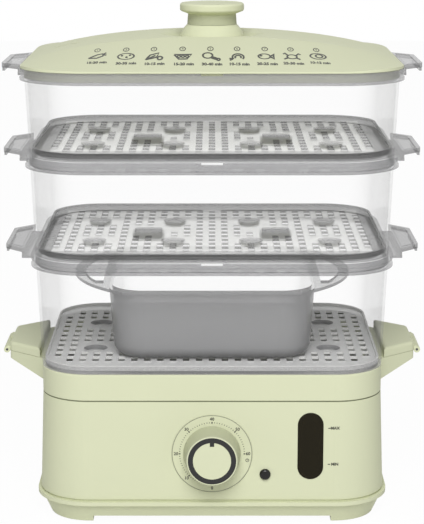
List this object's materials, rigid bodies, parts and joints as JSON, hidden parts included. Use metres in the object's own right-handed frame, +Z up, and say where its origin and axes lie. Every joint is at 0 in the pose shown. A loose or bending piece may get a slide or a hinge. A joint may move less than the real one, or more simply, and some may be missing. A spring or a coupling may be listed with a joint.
{
  "type": "food steamer",
  "caption": "Household food steamer: a base with a timer dial, water inlets and a level window under stacked clear baskets with perforated trays, a rice bowl and a vaulted lid.",
  "frame": {"origin": "middle of the footprint, on the plane that the foot pads stand on", "axes": "+Z up, the control panel faces -Y, +X to the right as seen from the front"},
  "size_m": [0.3344, 0.2426, 0.3932],
  "materials": {
    "sage_plastic": "satin pale sage green",
    "clear_plastic": "clear moulded plastic",
    "smoke_plastic": "smoky clear moulded plastic",
    "bowl_plastic": "frosted grey moulded plastic",
    "black_plastic": "black",
    "window_plastic": "dark tinted clear plastic",
    "lamp_plastic": "dark lens",
    "dial_plastic": "satin pale sage green",
    "inner_plastic": "off-white",
    "rubber": "matt black",
    "seal_rubber": "translucent grey",
    "steel": "plain zinc plated",
    "heater_alloy": "cast",
    "thermal_ceramic": "off-white ceramic-like"
  },
  "bodies": {
    "base": {"base_plate": "sage_plastic", "foot_pads": "rubber", "base_screws": "steel", "base_housing": "sage_plastic", "rear_panel": "sage_plastic", "upper_band": "sage_plastic", "water_tank": "sage_plastic", "heating_element": "heater_alloy", "heater_seal": "seal_rubber", "heater_clamp": "steel", "heater_screws": "steel", "thermostat": "thermal_ceramic", "thermal_fuse": "thermal_ceramic", "level_window": "window_plastic", "window_seal": "seal_rubber", "dial_plate": "dial_plastic", "timer_body": "inner_plastic", "timer_screws": "steel", "lamp_lens": "lamp_plastic", "lamp_holder": "inner_plastic", "cord_gland": "black_plastic", "gland_nut": "black_plastic", "terminal_block": "inner_plastic", "left_hinge_pin": "steel", "right_hinge_pin": "steel"},
    "timer": {"timer_knob": "sage_plastic", "knob_ring": "black_plastic", "timer_shaft": "steel"},
    "left_cover": {"left_inlet_cover": "sage_plastic"},
    "right_cover": {"right_inlet_cover": "sage_plastic"},
    "drip": {"drip_tray": "smoke_plastic"},
    "lower_basket": {"basket_lower": "clear_plastic"},
    "lower_tray": {"tray_lower": "smoke_plastic"},
    "bowl": {"rice_bowl": "bowl_plastic"},
    "middle_basket": {"basket_middle": "clear_plastic"},
    "middle_tray": {"tray_middle": "smoke_plastic"},
    "upper_basket": {"basket_upper": "clear_plastic"},
    "upper_tray": {"tray_upper": "smoke_plastic"},
    "lid": {"lid": "sage_plastic", "lid_knob": "sage_plastic", "lid_screw": "steel"}
  },
  "joints": [
    {"name": "timer_turn", "type": "hinge", "parent": "base", "child": "timer", "pos_m": [0, -0.1154, 0.058], "axis": [0, 1, 0], "range_deg": [-180, 90]},
    {"name": "left_cover_swing", "type": "hinge", "parent": "base", "child": "left_cover", "pos_m": [-0.1646, 0, 0.1182], "axis": [0, -1, 0], "range_deg": [0, 100]},
    {"name": "right_cover_swing", "type": "hinge", "parent": "base", "child": "right_cover", "pos_m": [0.1646, 0, 0.1182], "axis": [0, 1, 0], "range_deg": [0, 100]},
    {"name": "drip_tray_lift", "type": "slide", "parent": "base", "child": "drip", "axis": [0, 0, 1], "range_m": [0, 0.06]},
    {"name": "lower_basket_lift", "type": "slide", "parent": "drip", "child": "lower_basket", "axis": [0, 0, 1], "range_m": [0, 0.06]},
    {"name": "lower_tray_lift", "type": "slide", "parent": "lower_basket", "child": "lower_tray", "axis": [0, 0, 1], "range_m": [0, 0.12]},
    {"name": "bowl_lift", "type": "slide", "parent": "lower_tray", "child": "bowl", "axis": [0, 0, 1], "range_m": [0, 0.09]},
    {"name": "middle_basket_lift", "type": "slide", "parent": "bowl", "child": "middle_basket", "axis": [0, 0, 1], "range_m": [0, 0.06]},
    {"name": "middle_tray_lift", "type": "slide", "parent": "middle_basket", "child": "middle_tray", "axis": [0, 0, 1], "range_m": [0, 0.11]},
    {"name": "upper_basket_lift", "type": "slide", "parent": "middle_tray", "child": "upper_basket", "axis": [0, 0, 1], "range_m": [0, 0.06]},
    {"name": "upper_tray_lift", "type": "slide", "parent": "upper_basket", "child": "upper_tray", "axis": [0, 0, 1], "range_m": [0, 0.1]},
    {"name": "lid_lift", "type": "slide", "parent": "upper_tray", "child": "lid", "axis": [0, 0, 1], "range_m": [0, 0.1]}
  ]
}
